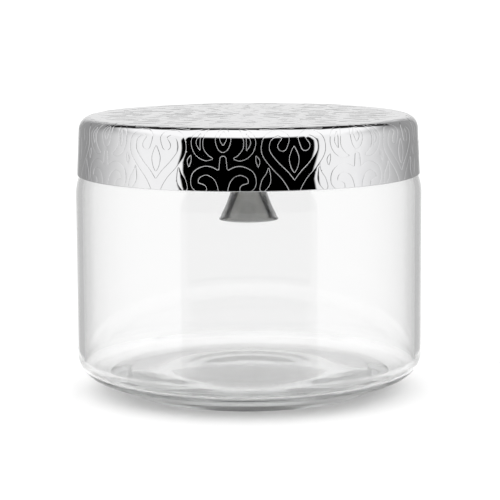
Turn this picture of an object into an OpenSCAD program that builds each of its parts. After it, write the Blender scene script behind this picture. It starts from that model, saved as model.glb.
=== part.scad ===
// Wide clear glass jar with a lift-off stamped steel cap. A small bell with
// a hanging clapper is screwed under the middle of the cap, inside the jar.
// Millimetres, +Z up, origin on the table under the middle of the foot.

/* [Glass jar] */
// Outer radius of the glass body
jar_r = 70; // [62:0.5:78]
// Height above the table at which the straight wall turns in to the shoulder
shoulder_z = 80; // [66:0.5:95]
// Thickness of the glass wall
wall_t = 2.5; // [2.2:0.1:3]
// Radius of the outer edge of the foot
foot_r = 49; // [46:0.5:51]
// Radius of the rounded heel between the wall and the base
heel_r = 9.8; // [9.4:0.2:10.4]
// Height of the outer wall's lower end above the table
heel_z = 15.4; // [15:0.2:15.8]
// Height above the table of the crease around the glass floor
floor_z = 7.3; // [7.1:0.1:8]
// Rise of the domed glass floor from its edge to its middle
floor_dome = 3.8; // [1:0.2:4.4]
// Depth of the hollow under the base, inside the foot ring
push_up = 2.5; // [1.3:0.1:2.9]
// Thickness of the glass at the mouth
neck_t = 4; // [3.6:0.1:4.4]

/* [Steel cap] */
// Thickness of the stamped sheet
sheet_t = 0.6; // [0.5:0.05:0.7]
// Outer radius of the rounded edge between the cap's top and its skirt
edge_r = 5.4; // [4.6:0.2:6]
// Taper of the skirt, from its lower edge to its top, on the radius
skirt_taper = 0.9; // [0:0.1:1.2]
// Height of the skirt's lower edge above the glass shoulder's start
skirt_drop = 8.45; // [8:0.1:9]

/* [Liner and seal] */
// Thickness of the liner's disc
liner_t = 1.8; // [1.6:0.1:2]
// Depth of the plug that enters the mouth
plug_h = 10.6; // [10:0.2:12]
// Thickness of the plug wall
plug_t = 2.5; // [2.3:0.1:2.8]
// Gap left between the seal's lips and the glass
lip_gap = 0.25; // [0.2:0.05:0.4]

/* [Bell] */
// Radius of the bell's mouth
bell_r = 12.1; // [11.5:0.1:12.6]
// Height of the bell, from its crown to its mouth
bell_h = 26.4; // [25.6:0.2:27.4]
// Thickness of the bell's wall
bell_t = 0.95; // [0.8:0.05:1.05]
// Length of the turned post between the liner and the bell
post_l = 11.2; // [10.4:0.2:12.4]
// Radius of the clapper's ball
ball_r = 2.6; // [2.2:0.1:2.8]

/* [Hidden] */
$fn = 96;
eps = 0.01;

// Heights that follow from the sizes above
skirt_z = shoulder_z + skirt_drop;      // lower edge of the steel skirt
rim_z = shoulder_z + 29.4;              // top of the glass mouth
liner_z = rim_z + 0.2;                  // underside of the liner's disc
shell_in_z = liner_z + liner_t;         // underside of the steel top
top_z = shell_in_z + sheet_t;           // top of the cap
boss_z = liner_z - 2;                   // underside of the liner's boss
post_z = boss_z - post_l;               // shoulder that the washer sits on
crown_z = post_z - 0.5;                 // top of the bell
mouth_z = crown_z - bell_h;             // rim of the bell
nut_z = crown_z - 1 - 3;                // underside of the eye nut's hexagon

// Radii that follow
neck_r = jar_r - 3.8;                   // outside of the glass mouth
mouth_r = neck_r - neck_t;              // inside of the glass mouth
skirt_r0 = jar_r - 0.64;                // steel skirt at its lower edge
skirt_r1 = skirt_r0 - skirt_taper;      // steel skirt below the rounded edge
plug_r = mouth_r - 1.8;                 // outside of the liner's plug
in_r = jar_r - wall_t;                  // inside of the glass wall
in_heel = 5;                            // inner heel radius
crease_r = jar_r - 13;                  // crease between heel and floor
floor_r = crease_r - 4.5;               // edge of the domed floor
ring_r = foot_r - 6.2;                  // inner edge of the foot ring

// Links of the clapper: wire radii, loop radii and loop centres
eye_w = 0.6;   eye_R = 1.7;   eye_c = nut_z - 1.9;
ring_w = 0.45; ring_R = 2.0;
pivot_a = eye_c - eye_R + eye_w + 0.1 + ring_w;       // ring on the eye
ring_c = pivot_a - ring_R;
pivot_b = ring_c - ring_R + ring_w + 0.1 + 0.45;      // clapper on the ring
loop_w = 0.45; loop_R = 1.5;  loop_c = pivot_b - loop_R;
ball_z = mouth_z + 3.7;

// Points on an arc, angles in degrees from the +X direction of the profile
function arc(cx, cz, r, a0, a1, n = 10) =
    [for (i = [0:n]) let (a = a0 + (a1 - a0) * i / n) [cx + r * cos(a), cz + r * sin(a)]];

// Angle at which a convex arc and a hollow arc of radii p and q meet smoothly
function turn(step, p, q) = acos(1 - step / (p + q));

// The jar's outer line, from the middle of the base up to the mouth
heel_a = 67.8;
out_p = 23.8; out_q = 4;
out_a = turn(jar_r - neck_r, out_p, out_q);
in_p = 21.3; in_q = 6;
in_a = turn(in_r - mouth_r, in_p, in_q);
lip = 1.5;

// The inner heel turns through this angle and then slopes down to the crease
heel_b = 77;
slope_r = in_r - in_heel + in_heel * cos(heel_b);
slope_z = floor_z + (slope_r - crease_r) * tan(90 - heel_b);

// Height of the hollow under the base, and of the domed floor, at radius r
function hollow(r) = push_up * pow(1 - pow(r / ring_r, 2), 2);
function dome(r) = floor_z + 0.4 + floor_dome * (1 - pow(r / floor_r, 2));

function jar_outer() = concat(
    [for (i = [0:9]) let (r = ring_r * i / 10) [r, hollow(r)]],
    [[ring_r, 0], [foot_r - 1.2, 0], [foot_r - 0.35, 0.1], [foot_r + 0.5, 0.36]],
    arc(jar_r - heel_r, heel_z, heel_r, -heel_a, 0, 12),
    arc(jar_r - out_p, shoulder_z, out_p, 0, out_a, 10),
    arc(neck_r + out_q, shoulder_z + (out_p + out_q) * sin(out_a), out_q, 180 + out_a, 180, 5),
    arc(neck_r - lip, rim_z - lip, lip, 0, 90, 6));

// The jar's inner line, from the mouth down to the middle of the floor
function jar_inner() = concat(
    arc(mouth_r + lip, rim_z - lip, lip, 90, 180, 6),
    arc(mouth_r + in_q, shoulder_z + (in_p + in_q) * sin(in_a), in_q, 180, 180 + in_a, 6),
    arc(in_r - in_p, shoulder_z, in_p, in_a, 0, 8),
    arc(in_r - in_heel, slope_z + in_heel * sin(heel_b), in_heel, 0, -heel_b, 12),
    [[crease_r, floor_z], [crease_r - 2.25, floor_z + 0.2]],
    [for (i = [8:-1:0]) let (r = floor_r * i / 8) [r, dome(r)]]);

module glass_jar() {
    color([0.86, 0.93, 0.93, 0.4])
    rotate_extrude() polygon(concat(jar_outer(), jar_inner()));
}

// Stamped cap: a flat top, a rounded edge and a slightly flared skirt
module lid_shell() {
    r_in = edge_r - sheet_t;
    cx = skirt_r1 - edge_r;
    cz = top_z - edge_r;
    ta = atan(skirt_taper / (cz - skirt_z));   // the skirt runs off the edge smoothly
    color([0.78, 0.78, 0.80])
    rotate_extrude() polygon(concat(
        [[0, top_z]],
        arc(cx, cz, edge_r, 90, ta, 12),
        [[skirt_r0, skirt_z + 0.15], [skirt_r0 - 0.15, skirt_z],
         [skirt_r0 - sheet_t + 0.15, skirt_z], [skirt_r0 - sheet_t, skirt_z + 0.15]],
        arc(cx, cz, r_in, ta, 90, 12),
        [[0, top_z - sheet_t]]));
}

// Moulded liner: a disc against the steel top, a plug that enters the mouth,
// a groove for the seal and a boss that the cap's screw passes through
module lid_liner() {
    cx = skirt_r1 - edge_r;
    cz = top_z - edge_r;
    r_e = edge_r - sheet_t - 0.3;
    groove_r = plug_r - 1;
    foot_z = liner_z - plug_h;
    a0 = asin(min(1, (liner_z - cz) / r_e));
    edge_x = cx + r_e * cos(a0);
    top_a = asin(min(1, (shell_in_z - cz) / r_e));
    color([0.93, 0.93, 0.91])
    difference() {
        rotate_extrude() polygon(concat(
            [[2.1, shell_in_z], [cx - 0.4, shell_in_z]],
            arc(cx, cz, r_e, 84, a0, 6),
            [[plug_r, liner_z],
             [plug_r, foot_z + 7.4], [groove_r, foot_z + 7.4],
             [groove_r, foot_z + 2.8], [plug_r, foot_z + 2.8],
             [plug_r, foot_z + 0.8], [plug_r - 0.8, foot_z],
             [plug_r - plug_t + 0.6, foot_z], [plug_r - plug_t, foot_z + 0.6],
             [plug_r - plug_t, liner_z - 1.5], [plug_r - plug_t - 0.5, liner_z - 0.5],
             [plug_r - plug_t - 1.5, liner_z],
             [10.5, liner_z], [9.4, liner_z - 0.5], [9, boss_z + 0.6], [8.4, boss_z],
             [2.1, boss_z]]));
        translate([0, 0, shell_in_z - 0.9]) cylinder(r = 4.8, h = 1);
    }
}

// Silicone seal: a band in the plug's groove with three lips bent by the glass
module lid_gasket() {
    foot_z = liner_z - plug_h;
    g0 = plug_r - 0.96;
    tip = mouth_r - lip_gap;
    z0 = foot_z + 2.85;
    h = 4.5;
    color([0.88, 0.88, 0.88])
    rotate_extrude() polygon(concat(
        [[g0, z0], [plug_r + 0.25, z0]],
        [for (k = [0:2]) each [
            [plug_r + 0.25, z0 + 0.35 + 1.5 * k],
            [tip - 0.2, z0 + 0.85 + 1.5 * k],
            [tip, z0 + 1.05 + 1.5 * k],
            [tip - 0.15, z0 + 1.25 + 1.5 * k],
            [plug_r + 0.25, z0 + 1.0 + 1.5 * k]]],
        [[plug_r + 0.25, z0 + h - 0.1], [plug_r + 0.1, z0 + h], [g0, z0 + h]]));
}

// Stud welded under the middle of the cap, which carries liner and bell
module weld_stud() {
    color([0.70, 0.70, 0.72])
    rotate_extrude() polygon([
        [0, shell_in_z], [4.5, shell_in_z], [4.5, shell_in_z - 0.7], [4.3, shell_in_z - 0.85],
        [2, shell_in_z - 0.85], [2, post_z + 5.4], [1.6, post_z + 5], [0, post_z + 5]]);
}

// Turned post screwed on the stud: it clamps the liner and ends in a thinner
// threaded tail that passes through the bell's crown
module bell_post() {
    color([0.80, 0.80, 0.82])
    difference() {
        rotate_extrude() polygon(concat(
            [[0, boss_z], [6.6, boss_z], [7, boss_z - 0.4], [7, boss_z - 1.2], [6.6, boss_z - 1.6]],
            arc(6.6, boss_z - 4.2, 2.6, 90, 180, 6),
            [[3.7, boss_z - 5.4], [3.6, post_z + 1.6], [3.9, post_z + 1.1], [3.9, post_z + 0.3],
             [3.6, post_z], [1.5, post_z], [1.5, nut_z + 1.4], [1.2, nut_z + 1.1], [0, nut_z + 1.1]]));
        translate([0, 0, post_z + 4.4]) cylinder(r = 2.05, h = boss_z);
    }
}

module bell_washer() {
    color([0.72, 0.30, 0.20])
    rotate_extrude() polygon([[1.55, crown_z], [4.1, crown_z], [4.1, post_z], [1.55, post_z]]);
}

// The bell's outer radius at a share u of its height, from crown 0 to mouth 1
function bell_x(u) = (bell_r - 6.9) + 1.9 * u + 5 * pow(u, 2.56);
// The wall thickens a little towards the sounding rim
function bell_w(u) = bell_t + 0.3 * pow(u, 10);
bell_u0 = 0.035;
bell_n = 18;

module bell() {
    h = bell_h;
    r0 = bell_x(bell_u0);
    color([0.76, 0.76, 0.78])
    rotate_extrude() polygon(concat(
        [[1.55, crown_z], [r0 - 1.3, crown_z], [r0 - 0.6, crown_z - 0.2], [r0 - 0.15, crown_z - 0.5]],
        [for (i = [0:bell_n]) let (u = bell_u0 + (1 - bell_u0) * i / bell_n) [bell_x(u), crown_z - h * u]],
        [[bell_x(1) - 0.35, mouth_z - 0.15], [bell_x(1) - bell_w(1) + 0.2, mouth_z]],
        [for (i = [bell_n:-1:1]) let (u = bell_u0 + (0.985 - bell_u0) * i / bell_n)
            [bell_x(u) - bell_w(u), crown_z - h * u]],
        [[r0 - bell_t - 0.25, crown_z - 1.25], [r0 - bell_t - 0.8, crown_z - 1], [1.55, crown_z - 1]]));
}

// Ring of round wire about the Y axis, standing in the XZ plane
module wire_loop(R, w) {
    rotate([90, 0, 0]) rotate_extrude($fn = 64) translate([R, 0]) circle(r = w, $fn = 24);
}

// Nut with an eye under it, screwed on the post's tail inside the bell
module eye_nut() {
    color([0.74, 0.74, 0.76])
    difference() {
        union() {
            intersection() {
                translate([0, 0, nut_z]) cylinder(r = 3.1, h = 3, $fn = 6);
                translate([0, 0, nut_z]) rotate_extrude() polygon(
                    [[0, 0], [2.75, 0], [3.1, 0.3], [3.1, 2.7], [2.75, 3], [0, 3]]);
            }
            translate([0, 0, nut_z - 0.5]) cylinder(r1 = 1.5, r2 = 2.3, h = 0.6);
            translate([0, 0, eye_c]) wire_loop(eye_R, eye_w);
        }
        translate([0, 0, nut_z + 0.9]) cylinder(r = 1.55, h = 3);
    }
}

module jump_ring() {
    color([0.74, 0.74, 0.76])
    translate([0, 0, ring_c]) rotate([0, 0, 90]) wire_loop(ring_R, ring_w);
}

// Wire rod with a loop at its top
module clapper_rod() {
    color([0.74, 0.74, 0.76])
    union() {
        translate([0, 0, loop_c]) wire_loop(loop_R, loop_w);
        translate([0, 0, ball_z - 0.6]) cylinder(r = 0.6, h = loop_c - loop_R - ball_z + 0.6);
    }
}

// Ball drilled from above and pressed on the rod
module clapper_ball() {
    color([0.76, 0.76, 0.78])
    difference() {
        translate([0, 0, ball_z]) sphere(r = ball_r);
        translate([0, 0, ball_z - 0.65]) cylinder(r = 0.62, h = ball_r + 1);
    }
}

glass_jar();
lid_shell();
lid_liner();
lid_gasket();
weld_stud();
bell_post();
bell_washer();
bell();
eye_nut();
jump_ring();
clapper_rod();
clapper_ball();
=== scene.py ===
import bpy
import math
import numpy as np
from mathutils import Matrix, Vector, geometry


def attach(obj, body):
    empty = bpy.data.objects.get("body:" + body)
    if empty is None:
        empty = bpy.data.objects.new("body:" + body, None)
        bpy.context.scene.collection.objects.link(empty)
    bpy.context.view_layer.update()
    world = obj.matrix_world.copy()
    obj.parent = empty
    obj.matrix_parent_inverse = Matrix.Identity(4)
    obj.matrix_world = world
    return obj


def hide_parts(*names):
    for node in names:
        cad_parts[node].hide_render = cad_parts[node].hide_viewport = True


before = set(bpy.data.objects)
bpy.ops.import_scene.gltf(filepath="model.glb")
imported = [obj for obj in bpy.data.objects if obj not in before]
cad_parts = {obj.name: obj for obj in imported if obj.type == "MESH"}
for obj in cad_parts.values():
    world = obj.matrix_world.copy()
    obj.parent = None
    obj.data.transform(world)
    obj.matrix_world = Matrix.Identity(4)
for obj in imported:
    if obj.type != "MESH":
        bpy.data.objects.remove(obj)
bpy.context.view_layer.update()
MM = 0.001
scene = bpy.context.scene


# ------------------------------------------------------------------ mesh tools

def make_object(name, verts_mm, faces, vert_normals=None, loop_normals=None):
    """A smooth-shaded mesh object from millimetre points, with its own normals."""
    me = bpy.data.meshes.new(name)
    me.from_pydata([tuple(v) for v in np.asarray(verts_mm, float) * MM], [], [tuple(int(i) for i in f) for f in faces])
    me.polygons.foreach_set("use_smooth", [True] * len(me.polygons))
    me.update()
    if vert_normals is not None:
        me.normals_split_custom_set_from_vertices([tuple(n) for n in vert_normals])
    if loop_normals is not None:
        me.normals_split_custom_set([tuple(n) for n in loop_normals])
    ob = bpy.data.objects.new(name, me)
    scene.collection.objects.link(ob)
    return ob


def seg(p, q, n=1):
    """A straight stretch of a profile: rows of r, z and the outward normal."""
    t = np.linspace(0, 1, n + 1)[:, None]
    p, q = np.array(p, float), np.array(q, float)
    d = (q - p) / max(np.hypot(*(q - p)), 1e-9)
    pts = p + (q - p) * t
    return np.c_[pts, np.full(n + 1, d[1]), np.full(n + 1, -d[0])]


def arc(cx, cz, r, a0, a1, n=8):
    """A round stretch of a profile, angles in degrees."""
    a = np.radians(np.linspace(a0, a1, n + 1))
    s = 1.0 if a1 > a0 else -1.0
    return np.c_[cx + r * np.cos(a), cz + r * np.sin(a), s * np.cos(a), s * np.sin(a)]


def curve(pts, n=4):
    """A smooth stretch through the given r, z points."""
    p = np.array([2 * np.array(pts[0]) - np.array(pts[1])] + [list(q) for q in pts]
                 + [2 * np.array(pts[-1]) - np.array(pts[-2])], float)
    out, tan = [], []
    for i in range(1, len(p) - 2):
        a, b, c, d = p[i - 1], p[i], p[i + 1], p[i + 2]
        last = i == len(p) - 3
        for k in range(n + (1 if last else 0)):
            t = k / n
            out.append(0.5 * (2 * b + (c - a) * t + (2 * a - 5 * b + 4 * c - d) * t * t + (3 * b - a - 3 * c + d) * t ** 3))
            tan.append(0.5 * ((c - a) + 2 * (2 * a - 5 * b + 4 * c - d) * t + 3 * (3 * b - a - 3 * c + d) * t * t))
    out, tan = np.array(out), np.array(tan)
    tan /= np.maximum(np.hypot(tan[:, 0], tan[:, 1]), 1e-9)[:, None]
    return np.c_[out, tan[:, 1], -tan[:, 0]]


def soft(points, radius=0.2, steps=3, closed=False):
    """A profile of straight stretches whose corners are rounded with small arcs."""
    pts = [np.array(p, float) for p in points]
    n = len(pts)
    rows = []
    idx = range(n) if closed else range(1, n - 1)
    corners = {}
    for i in idx:
        a, b, c = pts[i - 1], pts[i], pts[(i + 1) % n]
        u, v = a - b, c - b
        lu, lv = np.hypot(*u), np.hypot(*v)
        u, v = u / lu, v / lv
        half = 0.5 * math.acos(max(-1.0, min(1.0, float(u @ v))))
        cut = min(radius / max(math.tan(half), 1e-6), 0.45 * lu, 0.45 * lv)
        s, e = b + u * cut, b + v * cut
        r = cut * math.tan(half)
        mid = (u + v)
        if np.hypot(*mid) < 1e-6 or half > 1.55:
            corners[i] = np.array([b])
            continue
        centre = b + mid / np.hypot(*mid) * (r / math.sin(half))
        a0 = math.atan2(s[1] - centre[1], s[0] - centre[0])
        a1 = math.atan2(e[1] - centre[1], e[0] - centre[0])
        da = (a1 - a0 + math.pi) % (2 * math.pi) - math.pi
        ang = a0 + da * np.linspace(0, 1, steps + 1)
        corners[i] = np.c_[centre[0] + r * np.cos(ang), centre[1] + r * np.sin(ang)]
    chain = []
    for i in range(n):
        if i in corners:
            chain.append(corners[i])
        else:
            chain.append(np.array([pts[i]]))
    parts = []
    for i, c in enumerate(chain):
        if len(c) > 1:
            p0 = c[0]
            d0 = c[0] - (chain[i - 1][-1])
            d1 = chain[(i + 1) % n][0] - c[-1]
            d0, d1 = d0 / np.hypot(*d0), d1 / np.hypot(*d1)
            k = len(c) - 1
            ang0, ang1 = math.atan2(d0[1], d0[0]), math.atan2(d1[1], d1[0])
            da = (ang1 - ang0 + math.pi) % (2 * math.pi) - math.pi
            t = ang0 + da * np.linspace(0, 1, k + 1)
            parts.append(np.c_[c, np.sin(t), -np.cos(t)])
        nxt = chain[(i + 1) % n]
        if i < n - 1 or closed:
            if np.hypot(*(nxt[0] - c[-1])) > 1e-6:
                parts.append(seg(c[-1], nxt[0]))
    return parts


def lathe(name, parts, segments=96, wobble=None):
    """Turns a closed or axis-to-axis profile; every face keeps its own stretch's
    normals, so arcs are smooth and real edges stay crisp."""
    pts, quads = [], []
    for part in parts:
        idx = []
        for row in part:
            p = (round(float(row[0]), 6), round(float(row[1]), 6))
            if pts and abs(pts[-1][0] - p[0]) < 5e-4 and abs(pts[-1][1] - p[1]) < 5e-4:
                idx.append(len(pts) - 1)
            elif pts and len(pts) > 2 and abs(pts[0][0] - p[0]) < 5e-4 and abs(pts[0][1] - p[1]) < 5e-4:
                idx.append(0)
            else:
                pts.append(p)
                idx.append(len(pts) - 1)
        for k in range(len(part) - 1):
            if idx[k] != idx[k + 1]:
                quads.append((idx[k], idx[k + 1], part[k][2:], part[k + 1][2:]))
    verts, first = [], []
    ang = np.arange(segments) * 2 * math.pi / segments
    ca, sa = np.cos(ang), np.sin(ang)
    for r, z in pts:
        first.append(len(verts))
        if r < 1e-6:
            verts.append((0.0, 0.0, z))
        else:
            verts.extend((r * c, r * s, z) for c, s in zip(ca, sa))
    faces, normals = [], []
    for a, b, na, nb in quads:
        ax, bx = pts[a][0] < 1e-6, pts[b][0] < 1e-6
        if ax and bx:
            continue
        for j in range(segments):
            k = (j + 1) % segments
            qa = [first[a]] if ax else [first[a] + j, first[a] + k]
            qb = [first[b]] if bx else [first[b] + k, first[b] + j]
            # the outward normal is to the right of the profile's run
            f = qa + qb
            nn = []
            for v, (nr, nz), jj in ([(qa[0], na, j)] if ax else [(qa[0], na, j), (qa[1], na, k)]) + \
                                   ([(qb[0], nb, j)] if bx else [(qb[0], nb, k), (qb[1], nb, j)]):
                nn.append((nr * ca[jj], nr * sa[jj], nz))
            faces.append(f)
            normals.extend(nn)
    return make_object(name, verts, faces, loop_normals=normals)


def tube(path, radii, sides=16, closed=False, caps=True):
    """Verts and faces of a round wire swept along a path, without twist."""
    p = np.array(path, float)
    n = len(p)
    if closed:
        tan = np.roll(p, -1, 0) - np.roll(p, 1, 0)
    else:
        tan = np.gradient(p, axis=0)
    tan /= np.linalg.norm(tan, axis=1)[:, None]
    ref = np.array([0.0, 1.0, 0.0]) if abs(tan[0][1]) < 0.8 else np.array([1.0, 0.0, 0.0])
    u = np.cross(tan[0], ref)
    u /= np.linalg.norm(u)
    rows = []
    for i in range(n):
        if i:
            u = u - tan[i] * (u @ tan[i])
            u /= np.linalg.norm(u)
        v = np.cross(tan[i], u)
        a = np.arange(sides) * 2 * math.pi / sides
        r = radii[i] if hasattr(radii, "__len__") else radii
        rows.append(p[i] + r * (np.cos(a)[:, None] * u + np.sin(a)[:, None] * v))
    verts = np.concatenate(rows)
    faces = []
    for i in range(n if closed else n - 1):
        k = (i + 1) % n
        for j in range(sides):
            m = (j + 1) % sides
            faces.append((i * sides + j, i * sides + m, k * sides + m, k * sides + j))
    if not closed and caps:
        faces.append(tuple(range(sides - 1, -1, -1)))
        faces.append(tuple((n - 1) * sides + j for j in range(sides)))
    return verts, faces


def ring_path(cz, R, plane, n=64):
    a = np.arange(n) * 2 * math.pi / n
    z = cz + R * np.sin(a)
    if plane == "xz":
        return np.c_[R * np.cos(a), 0 * a, z]
    return np.c_[0 * a, R * np.cos(a), z]


def merge(*lumps):
    verts, faces, at = [], [], 0
    for v, f in lumps:
        verts.append(np.asarray(v, float))
        faces.extend(tuple(i + at for i in g) for g in f)
        at += len(v)
    return np.concatenate(verts), faces


def finish_piece(ob, body, nodes, material, sharp=None):
    if sharp is not None:
        ob.data.set_sharp_from_angle(angle=math.radians(sharp))
    ob.data.materials.append(material)
    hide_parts(*nodes)
    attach(ob, body)
    return ob


# ------------------------------------------------------------------- materials

class Graph:
    """Small helper that writes node trees."""

    def __init__(self, tree):
        self.t = tree

    def node(self, kind, **props):
        n = self.t.nodes.new(kind)
        for k, v in props.items():
            setattr(n, k, v)
        return n

    def put(self, socket, value):
        if isinstance(value, bpy.types.NodeSocket):
            self.t.links.new(value, socket)
        else:
            socket.default_value = value

    def math(self, op, a, b=None, c=None):
        n = self.node("ShaderNodeMath", operation=op)
        for s, v in zip(n.inputs, (a, b, c)):
            if v is not None:
                self.put(s, v)
        return n.outputs[0]

    def ramp(self, v, a, b, lo=0.0, hi=1.0, kind="SMOOTHSTEP"):
        n = self.node("ShaderNodeMapRange", interpolation_type=kind)
        for s, x in zip(("Value", "From Min", "From Max", "To Min", "To Max"), (v, a, b, lo, hi)):
            self.put(n.inputs[s], x)
        return n.outputs[0]

    def mix(self, f, a, b):
        n = self.node("ShaderNodeMix", data_type="FLOAT")
        self.put(n.inputs["Factor"], f)
        self.put(n.inputs[2], a)
        self.put(n.inputs[3], b)
        return n.outputs[0]

    def coords(self):
        return self.node("ShaderNodeTexCoord").outputs["Object"]

    def scaled(self, vec, sx, sy, sz):
        n = self.node("ShaderNodeMapping")
        self.put(n.inputs["Vector"], vec)
        n.inputs["Scale"].default_value = (sx, sy, sz)
        return n.outputs[0]

    def noise(self, vec, scale, detail=2.0, rough=0.5, distort=0.0):
        n = self.node("ShaderNodeTexNoise")
        self.put(n.inputs["Vector"], vec)
        n.inputs["Scale"].default_value = scale
        n.inputs["Detail"].default_value = detail
        n.inputs["Roughness"].default_value = rough
        n.inputs["Distortion"].default_value = distort
        return n.outputs["Fac"]

    def bump(self, height, strength, distance, normal=None):
        n = self.node("ShaderNodeBump")
        n.inputs["Strength"].default_value = strength
        n.inputs["Distance"].default_value = distance
        self.put(n.inputs["Height"], height)
        if normal is not None:
            self.put(n.inputs["Normal"], normal)
        return n.outputs[0]

    def colour(self, f, a, b, pos=(0.0, 1.0)):
        n = self.node("ShaderNodeValToRGB")
        self.put(n.inputs[0], f)
        e = n.color_ramp.elements
        e[0].position, e[1].position = pos
        e[0].color, e[1].color = (*a, 1), (*b, 1)
        return n.outputs[0]

    def cylinder(self):
        """Angle, radius and height around the upright axis, in metres."""
        sep = self.node("ShaderNodeSeparateXYZ")
        self.put(sep.inputs[0], self.coords())
        x, y, z = sep.outputs
        return self.math("ARCTAN2", y, x), self.math("SQRT", self.math("ADD", self.math("MULTIPLY", x, x), self.math("MULTIPLY", y, y))), z


def material(name):
    m = bpy.data.materials.new(name)
    m.use_nodes = True
    g = Graph(m.node_tree)
    bsdf = next(n for n in m.node_tree.nodes if n.type == "BSDF_PRINCIPLED")
    out = next(n for n in m.node_tree.nodes if n.type == "OUTPUT_MATERIAL")
    return m, g, bsdf, out


def glass_material():
    m, g, b, out = material("clear_glass")
    b.inputs["Base Color"].default_value = (1.0, 1.0, 1.0, 1.0)
    b.inputs["Roughness"].default_value = 0.0
    b.inputs["IOR"].default_value = 1.5
    b.inputs["Transmission Weight"].default_value = 1.0
    # soft waves of a pressed and fire-polished wall, drawn out along its height
    wave = g.noise(g.scaled(g.coords(), 1.0, 1.0, 0.45), 42.0, 2.0, 0.45)
    fine = g.noise(g.coords(), 210.0, 1.0, 0.4)
    h = g.math("ADD", wave, g.math("MULTIPLY", fine, 0.05))
    g.put(b.inputs["Normal"], g.bump(h, 1.0, 0.00004))
    vol = g.node("ShaderNodeVolumeAbsorption")
    vol.inputs["Color"].default_value = (0.9536, 0.955, 0.9548, 1.0)
    vol.inputs["Density"].default_value = 100.0
    g.t.links.new(vol.outputs[0], out.inputs["Volume"])
    return m


def polished_steel():
    m, g, b, out = material("polished_steel")
    b.inputs["Metallic"].default_value = 1.0
    co = g.coords()
    cloud = g.noise(co, 38.0, 4.0, 0.6)
    g.put(b.inputs["Base Color"], g.colour(cloud, (0.63, 0.63, 0.64), (0.68, 0.68, 0.685), (0.3, 0.7)))
    # polishing haze and hair-fine rubbing marks
    ang, rad, z = g.cylinder()
    hair = g.noise(g.scaled(co, 900.0, 900.0, 60.0), 1.0, 3.0, 0.6)
    rough = g.math("ADD", g.ramp(cloud, 0.35, 0.7, 0.012, 0.03, "LINEAR"), g.math("MULTIPLY", g.ramp(hair, 0.5, 0.8, 0.0, 1.0), 0.02))
    g.put(b.inputs["Roughness"], rough)
    wave = g.noise(co, 95.0, 1.5, 0.5)
    g.put(b.inputs["Normal"], g.bump(g.math("ADD", wave, g.math("MULTIPLY", hair, 0.02)), 1.0, 0.00005))
    return m


def turned_steel(name, base, rough, line_scale, line_depth):
    """Lathe-turned steel: fine rings around the upright axis."""
    m, g, b, out = material(name)
    b.inputs["Metallic"].default_value = 1.0
    ang, rad, z = g.cylinder()
    co = g.coords()
    lines = g.noise(g.scaled(co, 0.0, 0.0, 1.0), line_scale, 3.0, 0.7)
    ringy = g.node("ShaderNodeCombineXYZ")
    g.put(ringy.inputs[0], rad)
    g.put(ringy.inputs[1], z)
    lines = g.noise(ringy.outputs[0], line_scale, 3.0, 0.7)
    cloud = g.noise(co, 160.0, 3.0, 0.6)
    hi = tuple(min(1.0, c * 1.05) for c in base)
    lo = tuple(c * 0.93 for c in base)
    g.put(b.inputs["Base Color"], g.colour(cloud, lo, hi, (0.3, 0.7)))
    g.put(b.inputs["Roughness"], g.math("ADD", g.ramp(lines, 0.3, 0.7, rough * 0.7, rough * 1.5, "LINEAR"),
                                        g.math("MULTIPLY", g.ramp(cloud, 0.45, 0.75), rough * 0.5)))
    g.put(b.inputs["Normal"], g.bump(lines, 1.0, line_depth))
    return m


def wire_steel():
    m, g, b, out = material("wire_steel")
    b.inputs["Metallic"].default_value = 1.0
    co = g.coords()
    streak = g.noise(g.scaled(co, 1.0, 1.0, 0.25), 2600.0, 2.0, 0.6)
    cloud = g.noise(co, 500.0, 3.0, 0.6)
    g.put(b.inputs["Base Color"], g.colour(cloud, (0.60, 0.60, 0.61), (0.70, 0.70, 0.71), (0.3, 0.7)))
    g.put(b.inputs["Roughness"], g.ramp(streak, 0.3, 0.7, 0.12, 0.26, "LINEAR"))
    g.put(b.inputs["Normal"], g.bump(streak, 1.0, 0.000006))
    return m


def liner_plastic():
    m, g, b, out = material("liner_plastic")
    co = g.coords()
    cloud = g.noise(co, 60.0, 3.0, 0.5)
    g.put(b.inputs["Base Color"], g.colour(cloud, (0.80, 0.80, 0.77), (0.86, 0.86, 0.84), (0.3, 0.7)))
    grain = g.noise(co, 2400.0, 2.0, 0.6)
    g.put(b.inputs["Roughness"], g.ramp(grain, 0.3, 0.7, 0.34, 0.48, "LINEAR"))
    b.inputs["IOR"].default_value = 1.49
    b.inputs["Subsurface Weight"].default_value = 0.12
    b.inputs["Subsurface Radius"].default_value = (0.004, 0.004, 0.0035)
    b.inputs["Subsurface Scale"].default_value = 0.5
    g.put(b.inputs["Normal"], g.bump(g.math("ADD", grain, g.math("MULTIPLY", cloud, 2.0)), 1.0, 0.00001))
    return m


def silicone():
    m, g, b, out = material("silicone")
    co = g.coords()
    cloud = g.noise(co, 130.0, 3.0, 0.55)
    g.put(b.inputs["Base Color"], g.colour(cloud, (0.70, 0.72, 0.72), (0.80, 0.81, 0.81), (0.3, 0.7)))
    dust = g.noise(co, 1700.0, 2.0, 0.7)
    g.put(b.inputs["Roughness"], g.ramp(dust, 0.35, 0.7, 0.42, 0.62, "LINEAR"))
    b.inputs["IOR"].default_value = 1.41
    b.inputs["Subsurface Weight"].default_value = 0.35
    b.inputs["Subsurface Radius"].default_value = (0.003, 0.003, 0.003)
    b.inputs["Subsurface Scale"].default_value = 0.6
    g.put(b.inputs["Normal"], g.bump(dust, 1.0, 0.000008))
    return m


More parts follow.
